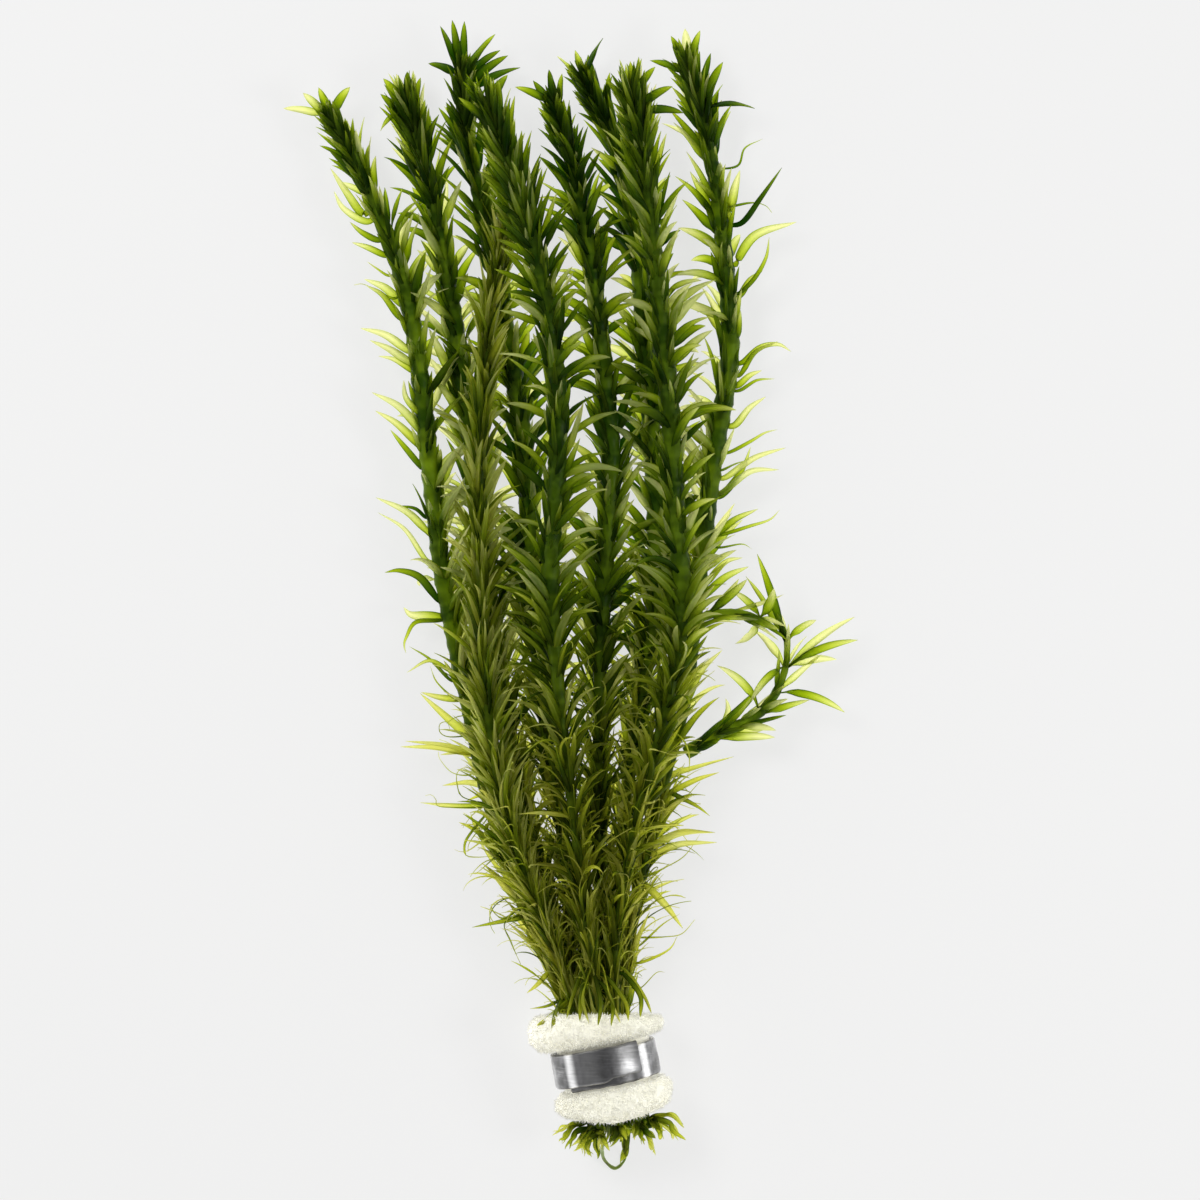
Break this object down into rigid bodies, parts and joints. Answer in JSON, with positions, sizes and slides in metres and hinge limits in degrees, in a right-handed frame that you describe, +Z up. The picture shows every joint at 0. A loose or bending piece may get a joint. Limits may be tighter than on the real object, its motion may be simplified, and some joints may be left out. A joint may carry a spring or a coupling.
{
  "type": "brazilian waterweed bunch",
  "caption": "Lying bunch of leafy waterweed stems with side shoots, cut ends wrapped in soft foam held by a strip of sheet lead.",
  "frame": {"origin": "under the middle of the whole bunch, on the surface it lies on", "axes": "+Z up from the surface, +Y along the bunch from the wrapped end to the growing tips, +X to its right seen from above"},
  "size_m": [0.115, 0.2312, 0.0301],
  "materials": {
    "leaf_green": "wet, slightly glossy, translucent leaves",
    "olive_green": "wet, slightly glossy, older leaves and root",
    "cream_foam": "open, spongy foam",
    "sheet_lead": "dull, rolled sheet"
  },
  "bodies": {
    "root": {"stem_far_left": "leaf_green", "stem_left_low": "leaf_green", "stem_tallest": "leaf_green", "stem_left_high": "olive_green", "stem_front": "leaf_green", "stem_centre": "leaf_green", "stem_bent_tip": "leaf_green", "stem_right": "leaf_green", "stem_far_right": "leaf_green", "side_shoot_long": "leaf_green", "side_shoot_short": "leaf_green", "root_thread": "olive_green", "foam_wrap": "cream_foam", "lead_strip": "sheet_lead"}
  },
  "joints": []
}
